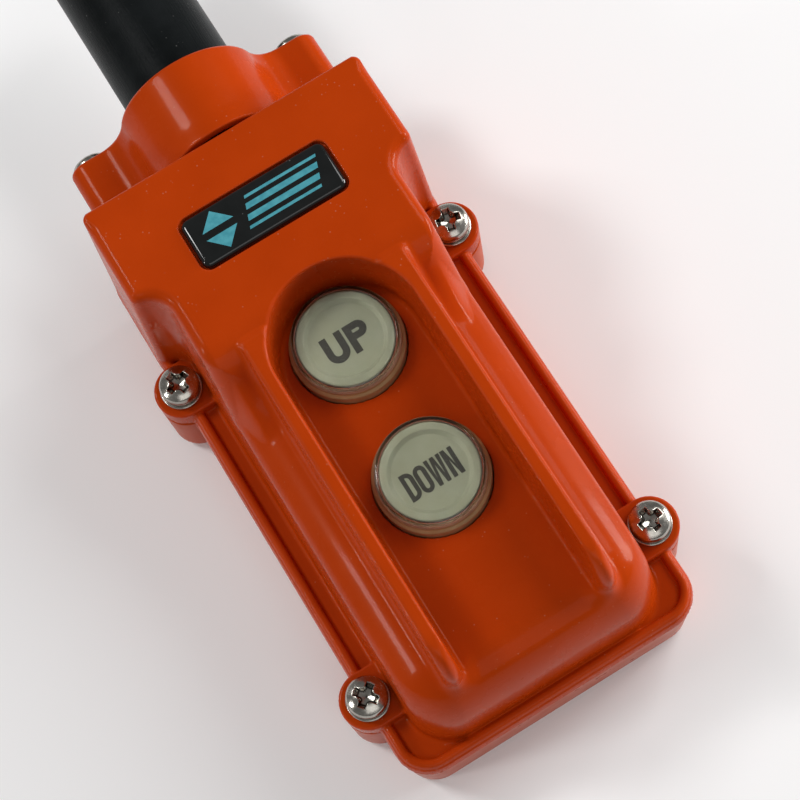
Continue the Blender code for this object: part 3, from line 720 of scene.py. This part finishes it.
def letter_p(w, h, t):
    low = h * 0.43
    r = (h - low) / 2.0
    outer = [(0, 0), (t, 0), (t, low)] + arc(w - r, low + r, r, r, -90, 90) + [(0, h)]
    inner = [(t, low + t)] + arc(w - r, low + r, r - t, r - t, -90, 90) + [(t, h - t)]
    return [outer, inner]


def letter_d(w, h, t):
    r = w * 0.62
    outer = [(0, 0)] + arc(w - r, r, r, r, -90, 0) + arc(w - r, h - r, r, r, 0, 90) + [(0, h)]
    q = r - t
    inner = [(t, t)] + arc(w - r, r, q, q, -90, 0) + arc(w - r, h - r, q, q, 0, 90) + [(t, h - t)]
    return [outer, inner]


def letter_o(w, h, t):
    rings = []
    for inset in (0.0, t):
        rx = w / 2.0 - inset
        ry = rx * 1.15
        upper = arc(w / 2.0, h - inset - ry, rx, ry, 0, 180)
        rings.append(upper + arc(w / 2.0, inset + ry, rx, ry, 180, 360))
    return rings


def letter_w(w, h, t):
    q = w / 4.0
    s = t * 0.92
    outer = [(0, h), (q - s / 2, 0), (q + s / 2, 0), (2 * q, h * 0.72), (3 * q - s / 2, 0),
             (3 * q + s / 2, 0), (w, h)]
    inner = [(w - s, h), (3 * q, h * 0.30), (2 * q + s / 2, h), (2 * q - s / 2, h),
             (q, h * 0.30), (s, h)]
    return [outer + inner]


def letter_n(w, h, t):
    return [[(0, 0), (t, 0), (t, h * 0.62), (w - t, 0), (w, 0), (w, h), (w - t, h),
             (w - t, h * 0.38), (t, h), (0, h)]]


def word_mesh(name, letters, height, stroke, gap, centre, z):
    """Filled, very thin letters laid out about a centre point."""
    curve = bpy.data.curves.new(name, "CURVE")
    curve.dimensions = "2D"
    curve.fill_mode = "BOTH"
    curve.extrude = 0.02 * MM
    total = sum(width for _, width in letters) + gap * (len(letters) - 1)
    x = centre[0] - total / 2.0
    for draw, width in letters:
        for ring in draw(width, height, stroke):
            spline = curve.splines.new("POLY")
            spline.points.add(len(ring) - 1)
            for point, (px, py) in zip(spline.points, ring):
                point.co = ((x + px) * MM, (centre[1] - height / 2.0 + py) * MM, 0.0, 1.0)
            spline.use_cyclic_u = True
        x += width + gap
    obj = bpy.data.objects.new(name, curve)
    bpy.context.scene.collection.objects.link(obj)
    graph = bpy.context.evaluated_depsgraph_get()
    mesh = bpy.data.meshes.new_from_object(obj.evaluated_get(graph))
    bpy.data.objects.remove(obj)
    mesh.transform(Matrix.Translation((0.0, 0.0, z * MM)))
    mesh.name = name
    return mesh


# ------------------------------------------------------------ materials
def new_look(name, **values):
    """A material and its shader, with the plain values set on the shader's own sockets."""
    mat = bpy.data.materials.new(name)
    mat.use_nodes = True
    shader = mat.node_tree.nodes["Principled BSDF"]
    for key, value in values.items():
        shader.inputs[key.replace("_", " ")].default_value = value
    return mat, mat.node_tree, shader


def coordinates(tree, stretch=(1.0, 1.0, 1.0)):
    source = tree.nodes.new("ShaderNodeTexCoord").outputs["Object"]
    if stretch == (1.0, 1.0, 1.0):
        return source
    mapping = tree.nodes.new("ShaderNodeMapping")
    mapping.inputs["Scale"].default_value = stretch
    tree.links.new(source, mapping.inputs["Vector"])
    return mapping.outputs["Vector"]


def noise(tree, coords, scale, detail=3.0, roughness=0.55):
    tex = tree.nodes.new("ShaderNodeTexNoise")
    tex.inputs["Scale"].default_value = scale
    tex.inputs["Detail"].default_value = detail
    tex.inputs["Roughness"].default_value = roughness
    tree.links.new(coords, tex.inputs["Vector"])
    return tex.outputs["Fac"]


def remap(tree, value, start, end, low, high):
    part = tree.nodes.new("ShaderNodeMapRange")
    for key, number in (("From Min", start), ("From Max", end), ("To Min", low), ("To Max", high)):
        part.inputs[key].default_value = number
    tree.links.new(value, part.inputs["Value"])
    return part.outputs["Result"]


def two_tone(tree, value, first, second, start=0.35, end=0.65):
    ramp = tree.nodes.new("ShaderNodeValToRGB")
    ramp.color_ramp.elements[0].position = start
    ramp.color_ramp.elements[1].position = end
    ramp.color_ramp.elements[0].color = (*first, 1.0)
    ramp.color_ramp.elements[1].color = (*second, 1.0)
    tree.links.new(value, ramp.inputs["Fac"])
    return ramp.outputs["Color"]


def overlay(tree, share, below, above):
    """Colour above over colour below, by a mask."""
    mix = tree.nodes.new("ShaderNodeMix")
    mix.data_type = "RGBA"
    tree.links.new(share, mix.inputs[0])
    tree.links.new(below, mix.inputs[6])
    if isinstance(above, tuple):
        mix.inputs[7].default_value = (*above, 1.0)
    else:
        tree.links.new(above, mix.inputs[7])
    return mix.outputs[2]


def combine(tree, operation, first, second):
    part = tree.nodes.new("ShaderNodeMath")
    part.operation = operation
    for socket, value in zip(part.inputs, (first, second)):
        if isinstance(value, (int, float)):
            socket.default_value = value
        else:
            tree.links.new(value, socket)
    return part.outputs["Value"]


def product(tree, first, second):
    return combine(tree, "MULTIPLY", first, second)


def relief(tree, height, depth, below=None):
    """Bump of the given depth in millimetres."""
    bump = tree.nodes.new("ShaderNodeBump")
    bump.inputs["Strength"].default_value = 1.0
    bump.inputs["Distance"].default_value = depth * MM
    tree.links.new(height, bump.inputs["Height"])
    if below is not None:
        tree.links.new(below, bump.inputs["Normal"])
    return bump.outputs["Normal"]


def specks(tree, coords, scale, size):
    """Sparse round specks as a mask."""
    tex = tree.nodes.new("ShaderNodeTexVoronoi")
    tex.inputs["Scale"].default_value = scale
    tree.links.new(coords, tex.inputs["Vector"])
    near = remap(tree, tex.outputs["Distance"], size * 0.5, size, 1.0, 0.0)
    some = remap(tree, noise(tree, coords, scale * 0.31, 2.0), 0.58, 0.62, 0.0, 1.0)
    return combine(tree, "MULTIPLY", near, some)


def edge_mask(tree, start, end):
    """Mask of how sharply the surface turns: nothing at start, full at end."""
    turn = tree.nodes.new("ShaderNodeAttribute")
    turn.attribute_name = "edge"
    return remap(tree, turn.outputs["Fac"], start, end, 0.0, 1.0)


def moulded(name, first, second, rough, shine, wear):
    """Injection-moulded plastic: clouding, fine grain, faint scratches, dust and rubbed edges."""
    mat, tree, shader = new_look(name, Coat_Weight=shine, Coat_Roughness=0.07, IOR=1.42,
                                 Specular_IOR_Level=0.09, Specular_Tint=(1.0, 0.62, 0.38, 1.0))
    link = tree.links.new
    coords = coordinates(tree)
    cloud = noise(tree, coords, 45.0, 4.0)
    base = two_tone(tree, cloud, first, second)
    dust = specks(tree, coords, 900.0, 0.16)
    rubbed = product(tree, edge_mask(tree, 0.7, 2.0), remap(tree, cloud, 0.4, 0.7, 0.2, 1.0))
    paler = tuple(min(1.0, c * 1.3 + 0.05) for c in second)
    base = overlay(tree, product(tree, rubbed, wear), base, paler)
    base = overlay(tree, product(tree, dust, 0.20), base, (0.62, 0.40, 0.28))
    link(base, shader.inputs["Base Color"])
    scratch = noise(tree, coordinates(tree, (120.0, 26.0, 60.0)), 6.0, 3.0, 0.6)
    lines = remap(tree, scratch, 0.60, 0.66, 0.0, 1.0)
    film = remap(tree, noise(tree, coords, 120.0, 5.0, 0.6), 0.3, 0.7, rough - 0.05, rough + 0.07)
    link(combine(tree, "ADD", film, product(tree, lines, 0.02)), shader.inputs["Roughness"])
    grain = relief(tree, noise(tree, coords, 1300.0, 1.0), 0.0012)
    waves = relief(tree, noise(tree, coords, 90.0, 0.0), 0.020, grain)
    link(relief(tree, dust, 0.010, waves), shader.inputs["Normal"])
    return mat


def rubber(name, first, second, stretch):
    """Dull black rubber with extrusion streaks, bloom and dust."""
    mat, tree, shader = new_look(name, IOR=1.45, Specular_IOR_Level=0.06)
    link = tree.links.new
    coords = coordinates(tree)
    bloom = noise(tree, coords, 70.0, 5.0, 0.6)
    base = two_tone(tree, bloom, first, second)
    dust = product(tree, specks(tree, coords, 800.0, 0.15), 0.3)
    base = overlay(tree, dust, base, (0.20, 0.20, 0.19))
    link(base, shader.inputs["Base Color"])
    link(remap(tree, bloom, 0.3, 0.7, 0.28, 0.38), shader.inputs["Roughness"])
    streak = relief(tree, noise(tree, coordinates(tree, stretch), 5.0, 4.0, 0.6), 0.05)
    link(relief(tree, noise(tree, coords, 1500.0, 3.0), 0.03, streak), shader.inputs["Normal"])
    return mat


def metal(name, first, second, low, high, brush):
    """Plated or bare metal with fine scratches, slight tarnish and painted shade that darkens its
    inner corners.
    """
    mat, tree, shader = new_look(name, Metallic=1.0)
    link = tree.links.new
    coords = coordinates(tree)
    stain = noise(tree, coords, 420.0, 5.0, 0.6)
    base = two_tone(tree, stain, first, second, 0.40, 0.68)
    # painted shade: inner corners and recesses, such as the screws' cross recesses, are darkened
    # almost to black
    painted_shade = edge_mask(tree, -0.4, -2.4)
    base = overlay(tree, product(tree, painted_shade, 0.92), base, (0.030, 0.026, 0.020))
    link(base, shader.inputs["Base Color"])
    fine = noise(tree, coordinates(tree, brush), 9.0, 5.0, 0.7)
    dull = remap(tree, product(tree, stain, fine), 0.12, 0.40, low, high)
    link(dull, shader.inputs["Roughness"])
    scratch = relief(tree, fine, 0.010)
    link(relief(tree, noise(tree, coords, 900.0, 3.0), 0.012, scratch), shader.inputs["Normal"])
    return mat


def clear_plastic(name):
    """Water-clear acrylic with a faint warm tint; lamps shine through it. Its walls are painted
    brown tan, a painted reflection of the orange surroundings and the disc seen through them.
    """
    mat, tree, shader = new_look(name, IOR=1.49, Specular_IOR_Level=0.3)
    link = tree.links.new
    coords = coordinates(tree)
    haze = noise(tree, coords, 240.0, 4.0)
    split = tree.nodes.new("ShaderNodeSeparateXYZ")
    link(coords, split.inputs["Vector"])
    top = size_of("button_cap_up")[1][2] * MM
    crown = remap(tree, split.outputs["Z"], top - 0.0028, top - 0.0013, 0.0, 1.0)
    # painted reflection: below the top the walls get a brown tan and only 0.30 transmission,
    # standing in for what is seen through the clear wall
    side = two_tone(tree, haze, (0.40, 0.25, 0.12), (0.48, 0.31, 0.16))
    clear = two_tone(tree, haze, (0.93, 0.90, 0.82), (0.97, 0.955, 0.90))
    link(overlay(tree, crown, side, clear), shader.inputs["Base Color"])
    link(remap(tree, crown, 0.0, 1.0, 0.30, 1.0), shader.inputs["Transmission Weight"])
    link(remap(tree, haze, 0.3, 0.7, 0.015, 0.05), shader.inputs["Roughness"])
    link(relief(tree, noise(tree, coords, 420.0, 3.0), 0.006), shader.inputs["Normal"])
    through = tree.nodes.new("ShaderNodeBsdfTransparent")
    through.inputs["Color"].default_value = (0.90, 0.87, 0.80, 1.0)
    mix = tree.nodes.new("ShaderNodeMixShader")
    path = tree.nodes.new("ShaderNodeLightPath")
    link(path.outputs["Is Shadow Ray"], mix.inputs["Fac"])
    link(shader.outputs["BSDF"], mix.inputs[1])
    link(through.outputs["BSDF"], mix.inputs[2])
    link(mix.outputs["Shader"], tree.nodes["Material Output"].inputs["Surface"])
    return mat


def matt_plastic(name, first, second, rough, scale=60.0):
    """Satin plastic or print with mottling and fine grain."""
    mat, tree, shader = new_look(name, IOR=1.48)
    link = tree.links.new
    coords = coordinates(tree)
    mottle = noise(tree, coords, scale, 4.0)
    base = two_tone(tree, mottle, first, second)
    spots = product(tree, specks(tree, coords, 1100.0, 0.16), 0.4)
    base = overlay(tree, spots, base, tuple(c * 0.6 for c in first))
    link(base, shader.inputs["Base Color"])
    link(remap(tree, mottle, 0.3, 0.7, rough - 0.06, rough + 0.08), shader.inputs["Roughness"])
    link(relief(tree, noise(tree, coords, 2200.0, 3.0), 0.010), shader.inputs["Normal"])
    return mat


def label_look(name):
    """Black print under a clear dome, with a plain up-and-down arrow emblem and bars."""
    mat, tree, shader = new_look(name, Coat_Weight=0.7, Coat_Roughness=0.03, IOR=1.5,
                                 Specular_IOR_Level=0.15)
    link = tree.links.new
    coords = coordinates(tree)
    place_on = tree.nodes.new("ShaderNodeSeparateXYZ")
    link(coords, place_on.inputs["Vector"])
    u, v = place_on.outputs["X"], combine(tree, "SUBTRACT", place_on.outputs["Y"], LABEL_Y * MM)
    hx, hy = LABEL_HALF * MM

    def inside(value, low, high):
        above = combine(tree, "GREATER_THAN", value, low)
        return product(tree, above, combine(tree, "LESS_THAN", value, high))

    across = combine(tree, "ABSOLUTE", combine(tree, "ADD", u, 0.60 * hx), 0.0)
    tall = combine(tree, "ABSOLUTE", v, 0.0)
    slope = combine(tree, "SUBTRACT", 0.78 * hy, product(tree, across, 1.05))
    arrows = product(tree, combine(tree, "LESS_THAN", tall, slope),
                     combine(tree, "GREATER_THAN", tall, 0.14 * hy))
    row = combine(tree, "FLOORED_MODULO", v, 0.40 * hy)
    row = combine(tree, "ABSOLUTE", combine(tree, "SUBTRACT", row, 0.20 * hy), 0.0)
    bars = product(tree, combine(tree, "LESS_THAN", row, 0.11 * hy),
                   inside(v, -0.60 * hy, 0.60 * hy))
    lean = combine(tree, "ADD", u, product(tree, v, -0.35))
    bars = product(tree, bars, inside(lean, -0.22 * hx, 0.78 * hx))
    mark = combine(tree, "MAXIMUM", arrows, bars)
    teal = noise(tree, coords, 700.0, 4.0)
    ink = two_tone(tree, teal, (0.050, 0.270, 0.330), (0.080, 0.350, 0.410))
    ground = noise(tree, coords, 300.0, 4.0)
    black = two_tone(tree, ground, (0.0035, 0.0045, 0.0045), (0.006, 0.007, 0.007))
    base = overlay(tree, mark, black, ink)
    dust = product(tree, specks(tree, coords, 800.0, 0.13), 0.4)
    link(overlay(tree, dust, base, (0.25, 0.25, 0.25)), shader.inputs["Base Color"])
    film = noise(tree, coords, 160.0, 4.0)
    link(remap(tree, film, 0.3, 0.7, 0.10, 0.22), shader.inputs["Roughness"])
    link(relief(tree, film, 0.02), shader.inputs["Normal"])
    return mat


LOOKS = {
    "orange_plastic": moulded("orange_plastic_look", (0.410, 0.037, 0.0014),
                              (0.455, 0.043, 0.0022), 0.26, 0.07, 0.15),
    "orange_plastic_rear": moulded("orange_rear_look", (0.410, 0.048, 0.0045),
                                   (0.455, 0.056, 0.0070), 0.30, 0.06, 0.15),
    "gasket_rubber": rubber("gasket_look", (0.012, 0.012, 0.012),
                            (0.022, 0.022, 0.021), (60.0, 60.0, 60.0)),
    "black_rubber": rubber("black_rubber_look", (0.0045, 0.0055, 0.0058),
                           (0.0085, 0.0100, 0.0105), (700.0, 25.0, 700.0)),
    "label_black_gloss": label_look("label_look"),
    "plated_steel": metal("plated_steel_look", (0.37, 0.35, 0.31),
                          (0.54, 0.51, 0.46), 0.12, 0.30, (300.0, 60.0, 300.0)),
    "clear_plastic": clear_plastic("clear_plastic_look"),
    "legend_white": matt_plastic("legend_white_look", (0.215, 0.241, 0.193),
                                 (0.250, 0.278, 0.225), 0.42),
    "plunger_plastic": matt_plastic("plunger_look", (0.34, 0.32, 0.24),
                                    (0.40, 0.38, 0.29), 0.45),
    "seal_rubber": rubber("seal_look", (0.150, 0.095, 0.045),
                          (0.210, 0.140, 0.070), (80.0, 80.0, 80.0)),
    "brass": metal("brass_look", (0.60, 0.40, 0.14),
                   (0.74, 0.52, 0.22), 0.20, 0.40, (200.0, 60.0, 200.0)),
    "spring_steel": metal("spring_steel_look", (0.42, 0.42, 0.43),
                          (0.60, 0.60, 0.60), 0.18, 0.36, (300.0, 300.0, 60.0)),
    "black_phenolic": matt_plastic("phenolic_look", (0.012, 0.011, 0.010),
                                   (0.030, 0.027, 0.024), 0.40, 260.0),
}
INK = matt_plastic("legend_ink_look", (0.005, 0.006, 0.005), (0.012, 0.013, 0.011), 0.6, 900.0)


# ------------------------------------------------------------ assembly
def dress(obj, look):
    """Give a piece one material, in place of any it has."""
    obj.data.materials.clear()
    obj.data.materials.append(look)


def grid_piece(name, field, low, high, step, node, fine=None):
    """Mesh a housing piece from its field, with two grid cells to spare all round."""
    margin = np.full(3, 2.0 * step)
    mesh = field_mesh(name, field, low - margin, high + margin, step, fine)
    return place(name, mesh, "housing", node)


def add_housing():
    grid_piece("front_shell", front_field, FRONT_LOW, FRONT_HIGH, 0.45, "front_cover", 0.45)
    grid_piece("rear_shell", rear_field, REAR_LOW, REAR_HIGH, 0.55, "rear_cover")
    grid_piece("clamp_cap_shell", cap_field, CAP_LOW, CAP_HIGH, 0.36, "cable_clamp_cap")
    grid_piece("label_dome", label_field, LABEL_LOW, LABEL_HIGH, 0.25, "label_plate")
    place("cable_sleeve_skin", sleeve_mesh(), "housing", "cable_sleeve")


def add_fasteners():
    washer, lock = washer_mesh(), spring_washer_mesh()
    reach = HEAD_RADIUS + 0.3
    meshes = {}
    for kind, shank in (("cover", 16.4), ("cap", 25.3), ("block", 26.3)):
        tip = SCREW_GRID * math.ceil((shank + 0.4) / SCREW_GRID)
        low, high = (-reach, -reach, -tip), (reach, reach, HEAD_HEIGHT + 0.4)
        meshes[kind] = field_mesh(kind + "_screw_body", screw_field(shank), low, high, SCREW_GRID)
    for angle, (name, (x, y)) in zip((20.0, -12.0, 38.0, 8.0), SCREWS.items()):
        turn = Matrix.Rotation(math.radians(angle), 3, "Z")
        top = size_of("cover_screw_" + name)[1][2] - HEAD_HEIGHT
        place("screw_" + name, meshes["cover"], "housing", "cover_screw_" + name, (x, y, top), turn)
        flat = size_of("flat_washer_" + name)[0][2]
        place("washer_" + name, washer, "housing", "flat_washer_" + name, (x, y, flat), turn)
        ring = size_of("spring_washer_" + name)[0][2]
        place("lock_washer_" + name, lock, "housing", "spring_washer_" + name, (x, y, ring), turn)
    for side, sign in (("left", -1), ("right", 1)):
        spin = Matrix.Rotation(math.radians(25.0 * sign), 3, "Z")
        turn = Matrix.Rotation(-math.pi / 2, 3, "X") @ spin
        base = size_of("cap_screw_" + side)[1][1] - HEAD_HEIGHT
        at = (sign * CAP_SCREW[0], base, CAP_SCREW[2])
        place("clamp_screw_" + side, meshes["cap"], "housing", "cap_screw_" + side, at, turn)
        spin = Matrix.Rotation(math.radians(15.0 * sign), 3, "Z")
        turn = Matrix.Rotation(math.pi, 3, "X") @ spin
        base = size_of("block_screw_" + side)[0][2] + HEAD_HEIGHT
        place("post_screw_" + side, meshes["block"], "housing", "block_screw_" + side,
              (sign * POST[0], POST[1], base), turn)


def add_words():
    """Words on the sunken legends: letters, height, stroke, gap and drop below the centre."""
    level = size_of("legend_disc_up")[1][2] - LEGEND_SINK + 0.05
    up = [(letter_u, 4.5), (letter_p, 4.3)]
    down = [(letter_d, 2.4), (letter_o, 2.5), (letter_w, 3.3), (letter_n, 2.35)]
    words = {"up": (up, 6.0, 1.4, 0.5, 0.7), "down": (down, 5.6, 0.84, 0.18, 0.5)}
    for name, (letters, height, stroke, gap, drop) in words.items():
        centre = (0.0, BUTTONS[name] - drop)
        mesh = word_mesh("legend_" + name + "_word", letters, height, stroke, gap, centre, level)
        obj = bpy.data.objects.new(mesh.name, mesh)
        bpy.context.scene.collection.objects.link(obj)
        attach(obj, "button_" + name)
        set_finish(obj, "legend_white")
        dress(obj, INK)


def add_buttons():
    for name, y in BUTTONS.items():
        body = "button_" + name
        place("lens_" + name, cap_lens_mesh(y), body, "button_cap_" + name)
        place("disc_" + name, disc_mesh(y), body, "legend_disc_" + name)
        place("plunger_body_" + name, plunger_mesh(y), body, "plunger_" + name)
        place("seal_ring_" + name, seal_mesh(y), "housing", "button_seal_" + name)
        wire = spring_mesh("coil_" + name, y)
        coil = place("coil_" + name, wire, "housing", "return_spring_" + name)
        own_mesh(coil)


def add_looks():
    """Every replaced or carried-over node takes the look of its slot."""
    for obj in list(bpy.data.objects):
        node = obj.get("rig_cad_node")
        if node:
            dress(obj, LOOKS[SLOT_OF[node]])
        elif obj.type == "MESH" and obj.get("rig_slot") and not obj.data.materials:
            dress(obj, LOOKS[obj["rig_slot"]])


add_housing()
add_fasteners()
add_words()
add_buttons()
add_looks()


# ------------------------------------------------------------ stage, lights and camera
def stage_material():
    """Matt off-white of the floor."""
    mat = bpy.data.materials.new("stage_paper")
    mat.use_nodes = True
    shader = mat.node_tree.nodes["Principled BSDF"]
    shader.inputs["Base Color"].default_value = (0.94, 0.94, 0.94, 1.0)
    shader.inputs["Roughness"].default_value = 0.9
    return mat


def add_floor():
    """Plain pale floor just under the rear cover."""
    mesh = bpy.data.meshes.new("floor")
    half = 3.0
    corners = [(-half, -half, 0.0), (half, -half, 0.0), (half, half, 0.0), (-half, half, 0.0)]
    mesh.from_pydata(corners, [], [(0, 1, 2, 3)])
    floor = bpy.data.objects.new("floor", mesh)
    floor.location.z = REAR_LOW[2] * MM - 0.0002
    bpy.context.scene.collection.objects.link(floor)
    mesh.materials.append(stage_material())


def add_area(name, stand, aim, size, power):
    """White area lamp at stand, turned to face aim."""
    light = bpy.data.lights.new(name, "AREA")
    light.shape = "RECTANGLE"
    light.size, light.size_y = size
    light.energy = power
    lamp = bpy.data.objects.new(name, light)
    lamp.location = stand
    lamp.rotation_euler = (Vector(aim) - Vector(stand)).to_track_quat("-Z", "Y").to_euler()
    bpy.context.scene.collection.objects.link(lamp)


def add_lights():
    world = bpy.data.worlds.new("studio")
    world.use_nodes = True
    world.node_tree.nodes["Background"].inputs["Color"].default_value = (1.0, 1.0, 1.0, 1.0)
    world.node_tree.nodes["Background"].inputs["Strength"].default_value = 0.22
    bpy.context.scene.world = world
    middle = (0.0, 0.0, 0.03)
    add_area("right", (0.66, 0.20, 0.66), middle, (0.45, 0.45), 3.4)
    add_area("right_low", (0.92, -0.08, 0.18), middle, (0.50, 0.25), 7.0)
    add_area("top_left", (-0.45, 0.50, 0.80), middle, (0.22, 0.22), 3.1)
    add_area("left", (-0.85, 0.15, 0.45), middle, (0.15, 0.15), 1.6)
    add_area("foot", (-0.10, -0.62, 0.72), middle, (0.70, 0.45), 1.2)


def add_camera():
    """Camera above the foot and slightly to the left, turned about its own axis."""
    azimuth, elevation, roll = (math.radians(a) for a in (-13.3, 71.8, -18.7))
    distance = 0.3858
    target = Vector((0.0037, 0.0045, 0.026))
    back = Vector((math.sin(azimuth) * math.cos(elevation),
                   -math.cos(azimuth) * math.cos(elevation), math.sin(elevation)))
    right = Vector((math.cos(azimuth), math.sin(azimuth), 0.0))
    up = back.cross(right)
    across = right * math.cos(roll) + up * math.sin(roll)
    upward = up * math.cos(roll) - right * math.sin(roll)
    camera = bpy.data.cameras.new("camera")
    camera.sensor_width = 36.0
    camera.lens = 90.6
    camera.clip_start = 0.01
    camera.clip_end = 20.0
    holder = bpy.data.objects.new("camera", camera)
    pose = Matrix((across, upward, back)).transposed().to_4x4()
    pose.translation = target + back * distance
    holder.matrix_world = pose
    bpy.context.scene.collection.objects.link(holder)
    bpy.context.scene.camera = holder


add_floor()
add_lights()
add_camera()
bpy.context.scene.view_settings.view_transform = "Standard"
